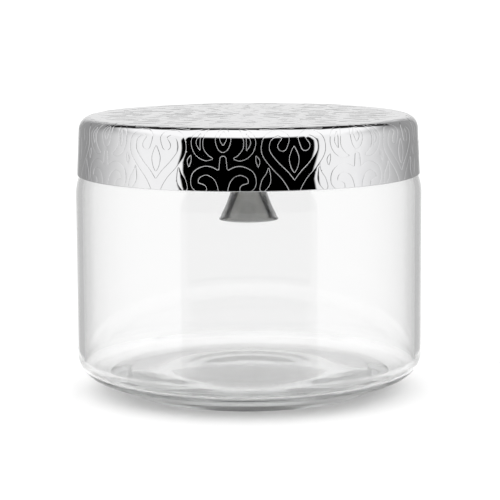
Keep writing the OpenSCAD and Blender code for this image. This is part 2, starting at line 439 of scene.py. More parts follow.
def fibre():
    m, g, b, out = material("fibre_washer")
    co = g.coords()
    layers = g.noise(g.scaled(co, 1.0, 1.0, 9.0), 900.0, 3.0, 0.65)
    g.put(b.inputs["Base Color"], g.colour(layers, (0.30, 0.075, 0.045), (0.52, 0.15, 0.09), (0.3, 0.72)))
    g.put(b.inputs["Roughness"], g.ramp(layers, 0.3, 0.7, 0.5, 0.72, "LINEAR"))
    g.put(b.inputs["Normal"], g.bump(layers, 1.0, 0.00002))
    return m


GLASS = glass_material()
STEEL = polished_steel()
PLAIN = turned_steel("plain_steel", (0.58, 0.58, 0.59), 0.20, 5200.0, 0.000006)
BELL = turned_steel("bell_steel", (0.50, 0.50, 0.505), 0.10, 2600.0, 0.000006)
WIRE = wire_steel()
LINER = liner_plastic()
SILICONE = silicone()
FIBRE = fibre()


# -------------------------------------------------------------------- glass jar

def build_jar():
    shoulder, jr, wall = 80.0, 70.0, 67.5
    # hollow under the base, foot ring, and the run up to the heel
    ring = 42.8
    under = [(r, 2.5 * (1 - (r / ring) ** 2) ** 2) for r in (0, 7, 14, 21, 28, 34, 38.5, 41.5, ring)]
    parts = [curve(under, 4), seg((ring, 0.0), (47.6, 0.0), 2),
             curve([(47.6, 0.0), (48.3, 0.045), (49.0, 0.17), (49.7, 0.38)], 4)]
    a0 = math.radians(-67.8)
    hs = np.array((60.2 + 9.8 * math.cos(a0), 15.4 + 9.8 * math.sin(a0)))
    lead = hs - 4.0 * np.array((-math.sin(a0), math.cos(a0)))
    parts.append(curve([(49.7, 0.38), tuple(lead * 0.5 + np.array((50.2, 0.62)) * 0.5), tuple(hs)], 5))
    parts.append(arc(60.2, 15.4, 9.8, -67.8, 0, 26))
    parts.append(seg((jr, 15.4), (jr, shoulder), 10))
    # outer shoulder, neck and mouth
    ca = math.degrees(math.acos(24.0 / 27.8))
    parts.append(arc(46.2, shoulder, 23.8, 0, ca, 20))
    cz = shoulder + 27.8 * math.sin(math.radians(ca))
    parts.append(arc(70.2, cz, 4.0, 180 + ca, 180, 10))
    parts.append(seg((66.2, cz), (66.2, 107.9), 4))
    parts.append(arc(64.7, 107.9, 1.5, 0, 90, 10))
    parts.append(seg((64.7, 109.4), (63.7, 109.4), 1))
    parts.append(arc(63.7, 107.9, 1.5, 90, 180, 10))
    # inside, back down to the floor
    ia = math.degrees(math.acos(1 - 5.3 / 27.3))
    iz = shoulder + 27.3 * math.sin(math.radians(ia))
    parts.append(seg((62.2, 107.9), (62.2, iz), 4))
    parts.append(arc(68.2, iz, 6.0, 180, 180 + ia, 12))
    parts.append(arc(46.2, shoulder, 21.3, ia, 0, 18))
    rho, turn, crease, edge, low = 5.0, 77.0, 57.0, 52.5, 7.3
    s = math.tan(math.radians(90 - turn))
    ex = wall - rho + rho * math.cos(math.radians(turn))
    ez = low + (ex - crease) * s
    hz = ez + rho * math.sin(math.radians(turn))
    parts.append(seg((wall, shoulder), (wall, hz), 10))
    parts.append(arc(wall - rho, hz, rho, 0, -turn, 26))
    parts.append(seg((ex, ez), (crease + 0.25, low + 0.25 * s), 3))
    dome = lambda r: low + 0.4 + 3.8 * (1 - (r / edge) ** 2)
    parts.append(curve([(crease + 0.25, low + 0.25 * s), (crease, low + 0.075 * s), (crease - 0.25, low + 0.024),
                        (crease - 2.25, low + 0.2), (edge, low + 0.388)] + [(r, dome(r)) for r in (edge - 3, 44, 34, 22, 10, 0)], 5))
    ob = lathe("glass_jar_body", parts, 256)
    return finish_piece(ob, "jar", ["glass_jar"], GLASS)


# --------------------------------------------------------- relief of the cap
# A design of scrolls, leaves and buds, drawn in one half of a repeat, mirrored
# and turned eight times around the cap. Millimetres.

REPEATS = 8
HALF = math.pi / REPEATS
TURN = math.radians(8.0)
R_TOP = 63.06
EDGE_R = 5.4
TAPER = math.atan(0.9 / 18.15)
CORNER_Z = 106.6
SKIRT_R0, SKIRT_Z0 = 69.36, 88.45
L_ARC = EDGE_R * (math.pi / 2 - TAPER)
ARC_END = (R_TOP + EDGE_R * math.cos(TAPER), CORNER_Z + EDGE_R * math.sin(TAPER))
L_SKIRT = math.hypot(SKIRT_R0 - ARC_END[0], ARC_END[1] - SKIRT_Z0)
RHO_MAX = R_TOP + L_ARC + L_SKIRT
RHO_END = RHO_MAX - 0.3
U = 69.0
B = U * HALF
LINE_W = 0.17            # half the width of a pressed line
DEPTH = 0.078            # depth of a pressed line
STEP = 0.03              # how far the ground lies under the motifs
PILLOW = 0.03            # slope at a line of the softly swelling fields beside it
SWELL = 1.6              # how far from a line a field swells

SKIRT = [
    ("stem", [(-0.2, -4, 2.1), (0.1, 1.6, 1.9), (2.2, 5.9, 1.8), (6.2, 7.9, 1.7), (10.2, 6.2, 1.6), (10.9, 2.6, 1.5), (8.2, 0.9, 1.9)]),
    ("stem", [(0.0, 3.4, 1.8), (0.0, 9.0, 1.5), (0.0, 12.2, 1.2)]),
    ("leaf_a", [(0.0, 15.4, 0.5), (0.0, 17.2, 2.3), (0.0, 20.0, 3.0), (0.0, 23.0, 1.9), (0.0, 26.0, 0.25)]),
    ("wing", [(4.4, 12.4, 0.35), (6.8, 12.9, 1.3), (9.4, 15.3, 2.0), (10.1, 19.0, 2.3), (8.5, 22.6, 1.6), (6.2, 25.2, 0.35)]),
    ("vine", [(B + 0.5, -4, 2.0), (B - 0.5, 1.0, 1.9), (B - 3.4, 5.6, 1.75), (B - 7.6, 10.0, 1.65), (B - 10.9, 14.8, 1.6), (B - 10.2, 19.8, 1.5), (B - 6.4, 22.3, 1.45), (B - 3.3, 20.2, 1.4), (B - 4.5, 16.9, 1.85)]),
    ("leaf_b", [(B, 7.4, 0.4), (B, 9.4, 1.4), (B, 12.0, 1.9), (B, 14.4, 1.2), (B, 16.6, 0.2)]),
    ("bud", [(15.0, 1.2, 1.2), (16.2, 3.6, 1.7), (17.0, 6.2, 0.9), (17.2, 8.6, 0.2)]),
    ("sprig", [(13.3, 9.4, 0.2), (13.2, 11.4, 0.75), (12.6, 13.2, 0.2)]),
    ("moon", [(B + 0.3, 26.2, 1.3), (B - 4.4, 26.9, 1.25), (B - 9.4, 25.6, 1.1), (B - 12.6, 24.6, 0.5)]),
]
CUTS_SKIRT = [
    ("leaf_a", [(0.0, 17.8, 0.35), (0.0, 20.2, 1.3), (0.0, 23.0, 0.25)]),
    ("wing", [(9.0, 15.7, 0.15), (9.7, 18.4, 0.8), (8.9, 21.6, 0.2)]),
]


def on_b(r, side, w):
    """A point near the other mirror line: r outward, side to the inside of it."""
    return (r * math.sin(HALF) - side * math.cos(HALF), r * math.cos(HALF) + side * math.sin(HALF), w)


TOP = [
    ("core", [(0.0, 0.0, 3.8), (0.0, 0.01, 3.8)]),
    ("petal", [(0.0, 6.4, 0.3), (0.0, 9.6, 1.5), (0.0, 13.6, 2.5), (0.0, 17.4, 1.6), (0.0, 20.4, 0.25)]),
    ("seed", [on_b(15.0, 0, 0.5), on_b(18.2, 0, 1.7), on_b(21.6, 0, 0.4)]),
    ("fan", [(0.0, 23.8, 1.4), (0.0, 28.0, 1.35), (0.8, 32.6, 1.3), (3.7, 36.0, 1.3), (7.4, 36.0, 1.25), (8.7, 33.0, 1.2), (6.6, 30.9, 1.6)]),
    ("tip", [(4.0, 24.2, 0.2), (4.7, 27.4, 1.05), (3.9, 30.6, 0.2)]),
    ("drop", [on_b(25.4, 0, 0.4), on_b(28.6, 0, 1.8), on_b(31.0, 0, 1.4), on_b(33.6, 0, 0.25)]),
    ("leaf_t", [(0.0, 40.2, 0.5), (0.0, 43.2, 2.6), (0.0, 47.4, 3.5), (0.0, 51.8, 2.1), (0.0, 55.8, 0.25)]),
    ("sweep", [on_b(37.2, -0.3, 1.5), on_b(41.4, 0.4, 1.5), on_b(45.0, 3.4, 1.45), on_b(49.0, 6.9, 1.4), on_b(53.8, 8.2, 1.35), on_b(58.0, 5.9, 1.3), on_b(57.2, 2.6, 1.65)]),
    ("bud_t", [on_b(46.6, 0, 0.4), on_b(49.6, 0, 1.8), on_b(52.2, 0, 1.2), on_b(54.6, 0, 0.2)]),
    ("rib", [(5.0, 40.4, 0.2), (7.4, 42.6, 1.0), (8.7, 45.8, 0.2)]),
    ("crown", [(0.0, 60.3, 1.2), (4.0, 59.9, 1.15), (7.4, 57.0, 1.1), (8.6, 52.8, 1.0), (7.4, 49.6, 1.2)]),
]
CUTS_TOP = [
    ("core", [(0.0, 0.0, 2.0), (0.0, 0.01, 2.0)]),
    ("petal", [(0.0, 10.6, 0.2), (0.0, 13.8, 1.1), (0.0, 17.0, 0.2)]),
    ("leaf_t", [(0.0, 43.8, 0.3), (0.0, 47.6, 1.6), (0.0, 51.6, 0.25)]),
]


def smooth_line(pts, per=9):
    p = np.array([pts[0]] + list(pts) + [pts[-1]], float)
    out = []
    for i in range(1, len(p) - 2):
        a, b, c, d = p[i - 1], p[i], p[i + 1], p[i + 2]
        for k in range(per):
            t = k / per
            out.append(0.5 * (2 * b + (c - a) * t + (2 * a - 5 * b + 4 * c - d) * t * t + (3 * b - a - 3 * c + d) * t ** 3))
    out.append(p[-2])
    return np.array(out)


FAR = -2.5


def stroke_field(x, y, line):
    """How far (x, y) lies inside a stroke of varying width, down to FAR outside."""
    best = np.full(x.shape, FAR)
    for (ax, ay, aw), (bx, by, bw) in zip(line[:-1], line[1:]):
        m = max(aw, bw) - FAR
        near = (x > min(ax, bx) - m) & (x < max(ax, bx) + m) & (y > min(ay, by) - m) & (y < max(ay, by) + m)
        if not near.any():
            continue
        xs, ys = x[near], y[near]
        dx, dy = bx - ax, by - ay
        t = np.clip(((xs - ax) * dx + (ys - ay) * dy) / (dx * dx + dy * dy + 1e-12), 0, 1)
        d = np.hypot(xs - ax - t * dx, ys - ay - t * dy)
        best[near] = np.maximum(best[near], aw + (bw - aw) * t - d)
    return best


def join(a, b, k=0.9):
    h = np.clip(0.5 + 0.5 * (a - b) / k, 0, 1)
    return b + (a - b) * h + k * h * (1 - h)


def fields(x, y, groups, cuts):
    by = {}
    for name, pts in groups:
        f = stroke_field(x, y, smooth_line(pts))
        by[name] = join(by[name], f) if name in by else f
    for name, pts in cuts:
        by[name] = np.minimum(by[name], -stroke_field(x, y, smooth_line(pts)))
    out = np.full(x.shape, FAR)
    for f in by.values():
        np.maximum(out, f, out=out)
    return out


def on_cap(rho, h=0.0):
    """Radius, height, and the normal's and the run's directions of the cap at a
    developed radius rho, h above its drawn surface."""
    rho = np.asarray(rho, float)
    a = np.clip((rho - R_TOP) / EDGE_R, 0, math.pi / 2 - TAPER)
    nr, nz = np.sin(a), np.cos(a)
    r = np.minimum(rho, R_TOP) + EDGE_R * np.sin(a)
    z = CORNER_Z + EDGE_R * np.cos(a)
    s = np.maximum(rho - R_TOP - L_ARC, 0)
    r = r + s * math.sin(TAPER)
    z = z - s * math.cos(TAPER)
    return r + h * nr, z + h * nz, nr, nz


def level_lines(F, rho, th, level):
    """Lines along which the gridded field equals level, as rows of rho, theta."""
    G = F - level
    G[G == 0] = 1e-7
    pos = G > 0
    ni, nj = F.shape
    where = {}

    def cross(i0, j0, i1, j1):
        key = (i0, j0, i1, j1)
        if key not in where:
            a, b = G[i0, j0], G[i1, j1]
            t = a / (a - b)
            where[key] = (rho[i0] + (rho[i1] - rho[i0]) * t, th[j0] + (th[j1] - th[j0]) * t)
        return key

    mixed = (pos[:-1, :-1].astype(int) + pos[1:, :-1] + pos[:-1, 1:] + pos[1:, 1:])
    links = {}
    for i, j in zip(*np.nonzero((mixed > 0) & (mixed < 4))):
        i, j = int(i), int(j)
        a, b, c, d = pos[i, j], pos[i, j + 1], pos[i + 1, j + 1], pos[i + 1, j]
        e = []
        if a != b:
            e.append(cross(i, j, i, j + 1))
        if b != c:
            e.append(cross(i, j + 1, i + 1, j + 1))
        if c != d:
            e.append(cross(i + 1, j, i + 1, j + 1))
        if d != a:
            e.append(cross(i, j, i + 1, j))
        pairs = [(e[0], e[1])]
        if len(e) == 4:
            mid = G[i:i + 2, j:j + 2].mean() > 0
            pairs = [(e[0], e[1]), (e[2], e[3])] if mid != a else [(e[3], e[0]), (e[1], e[2])]
        for p, q in pairs:
            links.setdefault(p, []).append(q)
            links.setdefault(q, []).append(p)
    lines, used = [], set()
    starts = [k for k, v in links.items() if len(v) == 1] + list(links)
    for s in starts:
        if s in used:
            continue
        chain = [s]
        used.add(s)
        while True:
            nxt = [q for q in links[chain[-1]] if q not in used]
            if not nxt:
                break
            chain.append(nxt[0])
            used.add(nxt[0])
        closed = len(chain) > 2 and chain[0] in links[chain[-1]] and len(links[chain[0]]) == 2
        pts = [where[k] for k in chain]
        if closed:
            pts.append(pts[0])
        if len(pts) > 3:
            lines.append((np.array(pts), closed))
    return lines


def thin(pts, tol, longest):
    """Drops points that a line doesn't need."""
    r, z, _, _ = on_cap(pts[:, 0])
    P = np.c_[r * np.cos(pts[:, 1]), r * np.sin(pts[:, 1]), z]
    keep = {0, len(P) - 1}
    stack = [(0, len(P) - 1)]
    if np.linalg.norm(P[0] - P[-1]) < 1e-6:
        m = int(np.argmax(np.linalg.norm(P - P[0], axis=1)))
        keep.add(m)
        stack = [(0, m), (m, len(P) - 1)]
    while stack:
        a, b = stack.pop()
        if b - a < 2:
            continue
        d = P[b] - P[a]
        L = np.linalg.norm(d)
        q = P[a + 1:b] - P[a]
        t = np.clip(q @ d / (L * L + 1e-15), 0, 1)
        dist = np.linalg.norm(q - t[:, None] * d, axis=1)
        k = int(np.argmax(dist))
        if dist[k] > tol:
            m = a + 1 + k
        elif L > longest:
            m = (a + b) // 2
        else:
            continue
        keep.add(m)
        stack += [(a, m), (m, b)]
    return pts[sorted(keep)]


def build_shell():
    n_rho, n_th = 748, 212
    rho = np.linspace(0, RHO_END, n_rho)
    th = np.linspace(0, HALF, n_th)
    RR, TT = np.meshgrid(rho, th, indexing="ij")
    F = np.full(RR.shape, FAR)
    top = rho < 64.5
    x, y = RR[top] * np.sin(TT[top]), RR[top] * np.cos(TT[top])
    F[top] = np.maximum(F[top], fields(x, y, TOP, CUTS_TOP))
    low = rho > 58.0
    F[low] = np.maximum(F[low], fields(U * TT[low], RHO_MAX - RR[low], SKIRT, CUTS_SKIRT))
    # slopes of the field, even across both mirror lines
    padded = np.pad(F, ((0, 0), (1, 1)), mode="reflect")
    dth = (padded[:, 2:] - padded[:, :-2]) / (2 * (th[1] - th[0]))
    drho = np.gradient(F, rho, axis=0)

    def sample(grid, pr, pt):
        i = np.clip(pr / rho[-1] * (n_rho - 1), 0, n_rho - 1 - 1e-9)
        j = np.clip(pt / th[-1] * (n_th - 1), 0, n_th - 1 - 1e-9)
        i0, j0 = i.astype(int), j.astype(int)
        fi, fj = i - i0, j - j0
        return (grid[i0, j0] * (1 - fi) * (1 - fj) + grid[i0 + 1, j0] * fi * (1 - fj)
                + grid[i0, j0 + 1] * (1 - fi) * fj + grid[i0 + 1, j0 + 1] * fi * fj)

    pts, edges = [], []

    def add_line(polar, closed=False):
        at = len(pts)
        pts.extend(map(tuple, polar[:-1] if closed else polar))
        n = len(pts) - at
        edges.extend((at + k, at + k + 1) for k in range(n - 1))
        if closed:
            edges.append((at + n - 1, at))

    on_zero, on_half, on_rim = {0.0, RHO_END}, {0.0, RHO_END}, set()
    for level in (-LINE_W, -0.4 * LINE_W, 0.4 * LINE_W, LINE_W):
        for line, closed in level_lines(F.copy(), rho, th, level):
            line = thin(line, 0.010, 1.5)
            for e in (line[0], line[-1]) if not closed else ():
                if e[1] < 1e-9:
                    on_zero.add(float(e[0]))
                elif e[1] > HALF - 1e-9:
                    on_half.add(float(e[0]))
                elif e[0] > RHO_END - 1e-6:
                    on_rim.add(float(e[1]))
            add_line(line, closed)
    # rings that carry the rounded edge and the skirt
    rings = [R_TOP + L_ARC * k / 10 for k in range(11)] + [R_TOP + L_ARC + L_SKIRT * k / 5 for k in range(1, 5)]
    for q in rings:
        k = max(2, int(round(on_cap(q)[0] * HALF / 1.7)))
        add_line(np.c_[np.full(k + 1, q), np.linspace(0, HALF, k + 1)])
        on_zero.add(q)
        on_half.add(q)

    def fill(values, step):
        v = sorted(values)
        out = [v[0]]
        for a, b in zip(v[:-1], v[1:]):
            if b - a < 1e-7:
                continue
            k = max(1, int(math.ceil((b - a) / step)))
            out.extend(a + (b - a) * (i + 1) / k for i in range(k))
        return np.array(out)

    z0, z1 = fill(on_zero, 3.0), fill(on_half, 3.0)
    add_line(np.c_[z0, np.zeros(len(z0))])
    add_line(np.c_[z1, np.full(len(z1), HALF)])
    rim = fill(on_rim | {0.0, HALF}, 1.5 / 69)
    add_line(np.c_[np.full(len(rim), RHO_END), rim])
    # a few points between the lines
    for q in np.arange(4.0, R_TOP - 1, 3.4):
        k = max(1, int(round(q * HALF / 3.6)))
        for t in (np.arange(k) + (0.5 if int(q / 3.4) % 2 else 0.15)) * HALF / k:
            if 0.02 < t < HALF - 0.02 and abs(sample(F, np.array([q]), np.array([t]))[0]) > 0.6:
                pts.append((q, float(t)))
    P = np.array(pts)
    flat = np.c_[P[:, 0] * np.sin(P[:, 1]), P[:, 0] * np.cos(P[:, 1])]
    out = geometry.delaunay_2d_cdt([Vector(p) for p in flat], edges, [], 0, 1e-5)
    V = np.array([(v.x, v.y) for v in out[0]])
    T = np.array([tuple(t) for t in out[2]], int)
    e1, e2 = V[T[:, 1]] - V[T[:, 0]], V[T[:, 2]] - V[T[:, 0]]
    area = e1[:, 0] * e2[:, 1] - e1[:, 1] * e2[:, 0]
    T = T[np.abs(area) > 1e-9]
    area = area[np.abs(area) > 1e-9]
    T[area < 0] = T[area < 0][:, ::-1]
    pr = np.hypot(V[:, 0], V[:, 1])
    pt = np.arctan2(V[:, 0], V[:, 1])
    pr = np.where(np.abs(pr - RHO_END) < 2e-3, RHO_END, pr)
    pt = np.where(np.abs(pt) * pr < 1e-4, 0.0, pt)
    pt = np.where(np.abs(pt - HALF) * pr < 1e-4, HALF, pt)
    # no slivers along the two mirror lines
    middle = pr < 1e-6
    T = T[~(((pt == 0) | middle)[T].all(axis=1) | ((pt == HALF) | middle)[T].all(axis=1))]
    f = sample(F, pr, pt)
    # a rounded groove along every line, and a small step between its two sides
    q = np.clip(f / LINE_W, -1, 1)
    t = (q + 1) / 2
    off = 1 - np.minimum(1.0, np.abs(f) / SWELL)
    h = -DEPTH * (1 - q * q) ** 2 - STEP * (1 - t * t * (3 - 2 * t)) - PILLOW * SWELL / 2 * off ** 2
    slope = (DEPTH * 4 * q * (1 - q * q) + STEP * 3 * t * (1 - t)) / LINE_W + PILLOW * np.sign(f) * off * np.minimum(1.0, np.abs(q))
    r, z, nr, nz = on_cap(pr, h)
    r_true = np.maximum(on_cap(pr)[0], 1e-3)
    g_rho = sample(drho, pr, pt) * slope
    g_th = sample(dth, pr, pt) * slope / r_true
    g_th[(pt == 0) | (pt == HALF)] = 0
    # along the run of increasing rho the direction is (nz, -nr)
    n_r, n_z, n_t = nr - g_rho * nz, nz + g_rho * nr, -g_th
    ln = np.sqrt(n_r ** 2 + n_z ** 2 + n_t ** 2)
    n_r, n_z, n_t = n_r / ln, n_z / ln, n_t / ln

    # mirror and turn; angles run from the +Y axis towards +X
    verts, normals, faces, table = [], [], [], {}

    def key(phi, rr, zz):
        return (round(rr * math.sin(phi), 4), round(rr * math.cos(phi), 4), round(zz, 4))

    rim_ring = []
    for c in range(REPEATS):
        for flip in (1, -1):
            base = TURN + c * 2 * HALF
            phi = base + flip * pt
            X, Y = r * np.sin(phi), r * np.cos(phi)
            NX = n_r * np.sin(phi) + flip * n_t * np.cos(phi)
            NY = n_r * np.cos(phi) - flip * n_t * np.sin(phi)
            ids = np.empty(len(V), int)
            seam = (pt == 0) | (pt == HALF) | (pr < 1e-6)
            for k in range(len(V)):
                if seam[k]:
                    q = (round(float(X[k]), 4), round(float(Y[k]), 4), round(float(z[k]), 4))
                    if q in table:
                        ids[k] = table[q]
                        continue
                    table[q] = len(verts)
                ids[k] = len(verts)
                verts.append((float(X[k]), float(Y[k]), float(z[k])))
                normals.append((float(NX[k]), float(NY[k]), float(n_z[k])))
            tri = ids[T] if flip == 1 else ids[T[:, ::-1]]
            faces.extend(map(tuple, tri.tolist()))
            for k in np.nonzero(pr == RHO_END)[0]:
                rim_ring.append((float(phi[k]) % (2 * math.pi), int(ids[k]), float(h[k])))
    # the turned-in lower rim and the plain inside, on the rim's own angles
    seen, ring = set(), []
    for phi, i, hh in sorted(rim_ring):
        if i not in seen:
            seen.add(i)
            ring.append((phi, i, hh))
    tr, tz = math.sin(TAPER), -math.cos(TAPER)
    r_b, z_b = on_cap(RHO_END)[:2]
    inner = []
    w = 0.3
    cr, cz = r_b - w * math.cos(TAPER), z_b - w * math.sin(TAPER)
    for a in (30, 60, 90, 120, 150, 180):
        s = math.radians(a)
        ux, uz = math.cos(TAPER), math.sin(TAPER)      # outward
        inner.append((cr + w * (math.cos(s) * ux + math.sin(s) * tr), cz + w * (math.cos(s) * uz + math.sin(s) * tz),
                      math.cos(s) * ux + math.sin(s) * tr, math.cos(s) * uz + math.sin(s) * tz, max(0.0, math.cos(s)) if a < 90 else 0.0))
    ix, iz = -math.cos(TAPER), -math.sin(TAPER)
    r_i, z_i = R_TOP + 4.8 * math.cos(TAPER), CORNER_Z + 4.8 * math.sin(TAPER)
    inner.append(((inner[-1][0] + r_i) / 2, (inner[-1][1] + z_i) / 2, ix, iz, 0.0))
    for k in range(9):
        a = TAPER + (math.pi / 2 - TAPER) * k / 8
        inner.append((R_TOP + 4.8 * math.cos(a), CORNER_Z + 4.8 * math.sin(a), -math.cos(a), -math.sin(a), 0.0))
    for q in (48.0, 24.0, 8.0):
        inner.append((q, 111.4, 0.0, -1.0, 0.0))
    prev = [i for _, i, _ in ring]
    m = len(ring)
    for rr, zz, ar, az, fade in inner:
        cur = []
        for phi, i, hh in ring:
            cur.append(len(verts))
            q = rr + hh * fade
            verts.append((q * math.sin(phi), q * math.cos(phi), zz))
            normals.append((ar * math.sin(phi), ar * math.cos(phi), az))
        for k in range(m):
            n2 = (k + 1) % m
            faces.append((prev[k], prev[n2], cur[n2], cur[k]))
        prev = cur
    verts.append((0.0, 0.0, 111.4))
    normals.append((0.0, 0.0, -1.0))
    for k in range(m):
        faces.append((prev[k], prev[(k + 1) % m], len(verts) - 1))
    ob = make_object("cap_shell_relief", verts, faces, vert_normals=normals)
    tris = sum(len(q) - 2 for q in faces)
    print("cap triangles", tris, "sector", len(T), "rim", m)
    return finish_piece(ob, "lid", ["lid_shell"], STEEL)


# ------------------------------------------------------- pieces under the cap

def build_liner():
    prof = soft([(2.1, 110.5), (4.8, 110.5), (4.8, 111.4), (62.5, 111.4), (63.6, 111.35), (65.4, 110.6), (66.3, 109.6),
                 (60.4, 109.6), (60.4, 106.4), (59.4, 106.4), (59.4, 101.8), (60.4, 101.8), (60.4, 99.8),
                 (59.6, 99.0), (58.5, 99.0), (57.9, 99.6), (57.9, 108.1), (57.4, 109.1), (56.4, 109.6),
                 (40.0, 109.6), (39.2, 109.9), (24.0, 109.9), (23.2, 109.6), (10.5, 109.6), (9.4, 109.1), (9.0, 108.2), (8.4, 107.6), (2.1, 107.6)][::-1], 0.22, 3, closed=True)
    ob = lathe("cap_liner", prof, 160)
    return finish_piece(ob, "lid", ["lid_liner"], LINER)


def build_gasket():
    g0, body, tip = 59.44, 60.65, 61.95
    pts = [(g0, 101.85), (body, 101.85)]
    for k in range(3):
        z = 101.85 + 1.5 * k
        pts += [(body, z + 0.35), (tip - 0.2, z + 0.85), (tip, z + 1.05), (tip - 0.15, z + 1.25), (body, z + 1.0)]
    pts += [(body, 106.25), (body - 0.15, 106.35), (g0, 106.35)]
    ob = lathe("cap_seal", soft(pts, 0.09, 3, closed=True), 160)
    return finish_piece(ob, "lid", ["lid_gasket"], SILICONE)


def build_stud():
    z0, z1 = 101.9, 110.55
    pts = [(0, 111.4), (4.5, 111.4), (4.5, 110.7), (4.3, 110.55), (2.35, 110.55), (2.0, 110.2)]
    z = 109.6
    while z > 102.6:
        pts += [(2.0, z), (1.68, z - 0.3), (1.68, z - 0.36), (2.0, z - 0.64)]
        z -= 0.7
    pts += [(2.0, 101.8), (1.6, 101.4), (0, 101.4)]
    ob = lathe("cap_stud", soft(pts[::-1], 0.05, 2), 64)
    return finish_piece(ob, "lid", ["weld_stud"], PLAIN)


def build_post():
    outer = [(0, 93.0), (1.2, 93.0), (1.5, 93.3)]
    z = 93.55
    while z < 95.7:
        outer += [(1.5, z), (1.24, z + 0.2), (1.24, z + 0.25), (1.5, z + 0.45)]
        z += 0.5
    outer += [(1.5, 96.4), (3.6, 96.4), (3.9, 96.7), (3.9, 97.5), (3.62, 97.9)]
    parts = soft(outer + [(3.62, 98.4)], 0.06, 2)
    # body with two turned grooves, then the cove and the flange
    body = soft([(3.62, 98.4), (3.63, 99.2), (3.4, 99.35), (3.4, 99.65), (3.64, 99.8), (3.64, 100.2), (3.41, 100.35), (3.41, 100.65), (3.66, 100.8), (3.7, 102.2), (4.0, 103.4)], 0.06, 2)
    cove = [arc(6.6, 103.4, 2.6, 180, 90, 10)]
    top = soft([(6.6, 106.0), (7.0, 106.4), (7.0, 107.2), (6.6, 107.6), (2.6, 107.6), (2.05, 107.1), (2.05, 100.8), (0, 100.8)], 0.1, 2)
    ob = lathe("bell_post_turned", parts + body + cove + top, 96)
    return finish_piece(ob, "lid", ["bell_post"], PLAIN)


def build_washer():
    ob = lathe("bell_washer_ring", soft([(1.55, 95.9), (4.1, 95.9), (4.1, 96.4), (1.55, 96.4)], 0.08, 3, closed=True), 64)
    return finish_piece(ob, "lid", ["bell_washer"], FIBRE)


def build_bell():
    crown, h = 95.9, 26.4
    X = lambda u: 5.2 + 1.9 * u + 5 * u ** 2.56
    W = lambda u: 0.95 + 0.3 * u ** 10
    u0 = 0.05
    outer = [(X(u), crown - h * u) for u in np.linspace(1.0, u0, 26)]
    inner = [(X(u) - W(u), crown - h * u) for u in np.linspace(u0 + 0.02, 0.982, 24)]
    lip = [(inner[-1][0], inner[-1][1]), (X(1) - W(1) + 0.1, 69.72), (X(1) - W(1) + 0.4, 69.52), (X(1) - 0.42, 69.5), (X(1) - 0.1, 69.62), (X(1), 69.9)]
    outer[0] = (X(1), 69.9)
    parts = [curve(outer, 3)]
    r0 = outer[-1][0]
    parts.append(curve([outer[-1], (r0 - 0.22, crown - 0.62), (r0 - 0.72, crown - 0.16), (r0 - 1.5, crown)], 3))
    parts.append(seg((r0 - 1.5, crown), (1.75, crown), 2))
    parts.append(seg((1.75, crown), (1.55, crown - 0.2), 1))
    parts.append(seg((1.55, crown - 0.2), (1.55, crown - 0.8), 1))
    parts.append(seg((1.55, crown - 0.8), (1.75, crown - 1.0), 1))
    parts.append(seg((1.75, crown - 1.0), (r0 - 2.0, crown - 1.0), 2))
    parts.append(curve([(r0 - 2.0, crown - 1.0), (r0 - 1.35, crown - 1.2), inner[0]], 3))
    parts.append(curve(inner, 3))
    parts.append(curve(lip, 3))
    ob = lathe("bell_body", parts, 144)
    return finish_piece(ob, "lid", ["bell"], BELL)


def hexagon(z0, z1, corner, chamfer_r, bore, top_bore=True, sides=96):
    """A chamfered hexagon nut as verts and faces, open bore through it."""
    ap = corner * math.cos(math.pi / 6)
    rows = []
    ang = np.arange(sides) * 2 * math.pi / sides
    off = (ang + math.pi / 6) % (math.pi / 3) - math.pi / 6
    hexr = ap / np.cos(off)
    lift = np.maximum(0, hexr - chamfer_r) * 0.86
    def row(r, z):
        return np.c_[r * np.cos(ang), r * np.sin(ang), z * np.ones(sides)]
    rb = np.minimum(chamfer_r, hexr - 0.02)
    rows.append(row(np.full(sides, bore), z0))
    rows.append(row(rb, z0))
    rows.append(row(hexr, z0 + np.maximum(lift, 0.015)))
    rows.append(row(hexr, z1 - np.maximum(lift, 0.015)))
    rows.append(row(rb, z1))
    rows.append(row(np.full(sides, bore + 0.2), z1))
    rows.append(row(np.full(sides, bore), z1 - 0.2))
    verts = np.concatenate(rows)
    n = len(rows)
    faces = []
    for i in range(n):
        k = (i + 1) % n
        for j in range(sides):
            m = (j + 1) % sides
            faces.append((i * sides + j, i * sides + m, k * sides + m, k * sides + j))
    return verts, faces


def build_eye_nut():
    hv, hf = hexagon(91.9, 94.9, 3.1, 2.72, 1.55)
    sides = 96
    # the nut is blind: its bore has a floor, and its lower face closes over the eye's shank
    at = len(hv)
    hv = np.r_[hv, hv[:sides] + (0, 0, 0.1), [[0, 0, 92.0], [0, 0, 91.9]]]
    hf = hf[:-sides] + [tuple(i + at if i < sides else i for i in f) for f in hf[-sides:]]
    lower = []
    for j in range(sides):
        k = (j + 1) % sides
        lower += [(k, j, at + sides + 1), (at + j, at + k, at + sides)]
    ring = tube(ring_path(90.0, 1.7, "xz", 72), 0.6, 20, closed=True)
    n = 8
    neck = tube([(0, 0, 91.2), (0, 0, 91.45), (0, 0, 91.7), (0, 0, 91.95)], [1.25, 1.5, 1.85, 2.3], 32)
    v, f = merge((hv, hf + lower), ring, neck)
    ob = make_object("bell_eye_nut", v, f)
    return finish_piece(ob, "lid", ["eye_nut"], PLAIN, sharp=28)


def build_ring():
    v, f = tube(ring_path(87.45, 2.0, "yz", 96), 0.45, 24, closed=True)
    ob = make_object("clapper_link_ring", v, f)
    return finish_piece(ob, "link", ["jump_ring"], WIRE, sharp=50)


